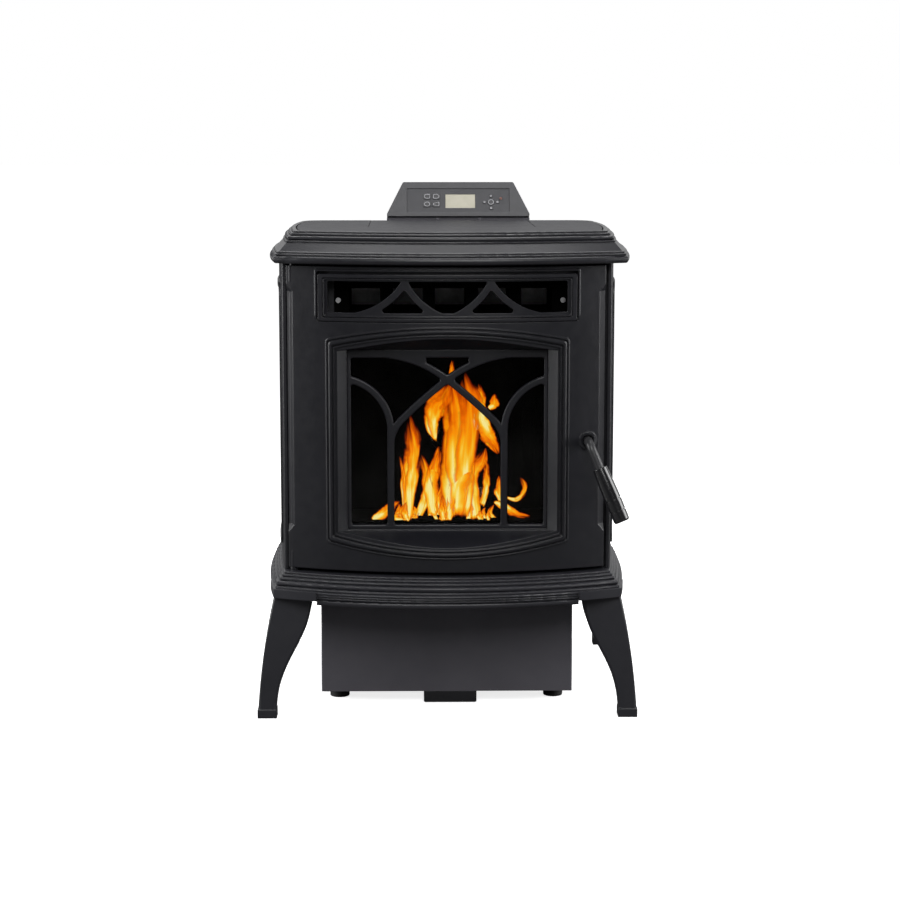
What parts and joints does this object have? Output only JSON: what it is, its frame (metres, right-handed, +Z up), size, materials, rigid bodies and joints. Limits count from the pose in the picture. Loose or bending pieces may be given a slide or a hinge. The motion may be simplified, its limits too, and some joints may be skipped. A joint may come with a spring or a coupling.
{
  "type": "pellet stove",
  "caption": "Free-standing cast pellet stove with a bowed glazed door, curved legs, stepped top and base mouldings, top hopper lid and rear control panel.",
  "frame": {"origin": "on the floor under the middle of the stove", "axes": "+X towards the handle side (the viewer's right), +Y from the door to the rear, +Z up"},
  "size_m": [0.661, 0.6359, 0.9129],
  "materials": {
    "cast_black": "satin black stove paint on a fine cast surface",
    "sheet_black": "satin black stove paint on sheet steel",
    "fire_steel": "dull heat-darkened steel",
    "bright_steel": "plain zinc-coated steel",
    "motor_grey": "dark grey enamel",
    "handle_steel": "black plated rod, satin",
    "grip_black": "glossy black moulded grip",
    "panel_grey": "dark grey moulded housing, fine texture",
    "panel_face": "dark grey membrane face",
    "key_grey": "dark grey keys with a paler rim",
    "key_red": "dark key with a dull red rim",
    "display": "pale grey-green display",
    "pad_rubber": "black rubber",
    "inlet_black": "black moulded socket",
    "window_glass": "clear ceramic glass, faintly amber",
    "rope_grey": "woven glass-fibre rope"
  },
  "bodies": {
    "stove": {"base_casting": "cast_black", "legs": "cast_black", "fixings": "bright_steel", "pedestal_box": "sheet_black", "pedestal_pads": "pad_rubber", "terminal_box": "sheet_black", "side_panel_left": "cast_black", "side_panel_right": "cast_black", "front_frame": "cast_black", "rear_panel": "sheet_black", "cornice": "cast_black", "top_plate": "cast_black", "firebox": "fire_steel", "firebox_floor": "fire_steel", "firebox_liner": "fire_steel", "exchanger_tubes": "fire_steel", "exchanger_plate": "fire_steel", "burn_pot": "fire_steel", "igniter": "bright_steel", "ash_pan": "fire_steel", "auger_tube": "bright_steel", "auger_motor": "motor_grey", "hopper": "sheet_black", "hopper_gasket": "rope_grey", "exhaust_housing": "bright_steel", "exhaust_motor": "motor_grey", "flue_collar": "sheet_black", "convection_housing": "bright_steel", "convection_motor": "motor_grey", "air_intake": "sheet_black", "control_housing": "panel_grey", "control_face": "panel_face", "control_display": "display", "panel_bracket": "sheet_black", "power_inlet": "inlet_black"},
    "door": {"door_casting": "cast_black", "window_tracery": "cast_black", "door_glass": "window_glass", "glass_gasket": "rope_grey", "glass_clips": "bright_steel", "door_gasket": "rope_grey", "upper_grille": "cast_black", "door_hinge_pins": "bright_steel"},
    "handle": {"handle_rod": "handle_steel", "handle_grip": "grip_black"},
    "lid": {"hopper_lid": "cast_black", "lid_hinge_pin": "bright_steel"},
    "auger": {"auger": "bright_steel"},
    "exhaust_impeller": {"exhaust_impeller": "bright_steel"},
    "convection_wheel": {"convection_wheel": "bright_steel"},
    "key_upper_left": {"key_upper_left": "key_grey"},
    "key_upper_right": {"key_upper_right": "key_grey"},
    "key_lower_left": {"key_lower_left": "key_grey"},
    "key_lower_right": {"key_lower_right": "key_grey"},
    "key_nav_up": {"key_nav_up": "key_grey"},
    "key_nav_down": {"key_nav_down": "key_grey"},
    "key_nav_left": {"key_nav_left": "key_grey"},
    "key_nav_right": {"key_nav_right": "key_grey"},
    "key_nav_centre": {"key_nav_centre": "key_grey"},
    "key_round": {"key_round": "key_red"}
  },
  "joints": [
    {"name": "door_swing", "type": "hinge", "parent": "stove", "child": "door", "pos_m": [-0.265, -0.22096, 0.52], "axis": [0, 0, -1], "range_deg": [0, 110]},
    {"name": "handle_turn", "type": "hinge", "parent": "door", "child": "handle", "pos_m": [0.241, -0.24, 0.484], "axis": [0, -1, 0], "range_deg": [0, 70]},
    {"name": "lid_open", "type": "hinge", "parent": "stove", "child": "lid", "pos_m": [0.01, 0.2262, 0.8385], "axis": [-1, 0, 0], "range_deg": [0, 78]},
    {"name": "auger_turn", "type": "hinge", "parent": "stove", "child": "auger", "pos_m": [0, 0.05, 0.47], "axis": [0, 1, 0], "continuous": true},
    {"name": "exhaust_turn", "type": "hinge", "parent": "stove", "child": "exhaust_impeller", "pos_m": [0.115, 0.12, 0.345], "axis": [1, 0, 0], "continuous": true},
    {"name": "convection_turn", "type": "hinge", "parent": "stove", "child": "convection_wheel", "pos_m": [-0.125, 0.12, 0.345], "axis": [1, 0, 0], "continuous": true},
    {"name": "press_upper_left", "type": "slide", "parent": "stove", "child": "key_upper_left", "axis": [0, 0.9135, -0.4067], "range_m": [0, 0.0005], "stiffness_N_per_m": 1500, "springref_m": -0.0003},
    {"name": "press_upper_right", "type": "slide", "parent": "stove", "child": "key_upper_right", "axis": [0, 0.9135, -0.4067], "range_m": [0, 0.0005], "stiffness_N_per_m": 1500, "springref_m": -0.0003},
    {"name": "press_lower_left", "type": "slide", "parent": "stove", "child": "key_lower_left", "axis": [0, 0.9135, -0.4067], "range_m": [0, 0.0005], "stiffness_N_per_m": 1500, "springref_m": -0.0003},
    {"name": "press_lower_right", "type": "slide", "parent": "stove", "child": "key_lower_right", "axis": [0, 0.9135, -0.4067], "range_m": [0, 0.0005], "stiffness_N_per_m": 1500, "springref_m": -0.0003},
    {"name": "press_nav_up", "type": "slide", "parent": "stove", "child": "key_nav_up", "axis": [0, 0.9135, -0.4067], "range_m": [0, 0.0005], "stiffness_N_per_m": 1500, "springref_m": -0.0003},
    {"name": "press_nav_down", "type": "slide", "parent": "stove", "child": "key_nav_down", "axis": [0, 0.9135, -0.4067], "range_m": [0, 0.0005], "stiffness_N_per_m": 1500, "springref_m": -0.0003},
    {"name": "press_nav_left", "type": "slide", "parent": "stove", "child": "key_nav_left", "axis": [0, 0.9135, -0.4067], "range_m": [0, 0.0005], "stiffness_N_per_m": 1500, "springref_m": -0.0003},
    {"name": "press_nav_right", "type": "slide", "parent": "stove", "child": "key_nav_right", "axis": [0, 0.9135, -0.4067], "range_m": [0, 0.0005], "stiffness_N_per_m": 1500, "springref_m": -0.0003},
    {"name": "press_nav_centre", "type": "slide", "parent": "stove", "child": "key_nav_centre", "axis": [0, 0.9135, -0.4067], "range_m": [0, 0.0005], "stiffness_N_per_m": 1500, "springref_m": -0.0003},
    {"name": "press_round", "type": "slide", "parent": "stove", "child": "key_round", "axis": [0, 0.9135, -0.4067], "range_m": [0, 0.0005], "stiffness_N_per_m": 1500, "springref_m": -0.0003}
  ]
}
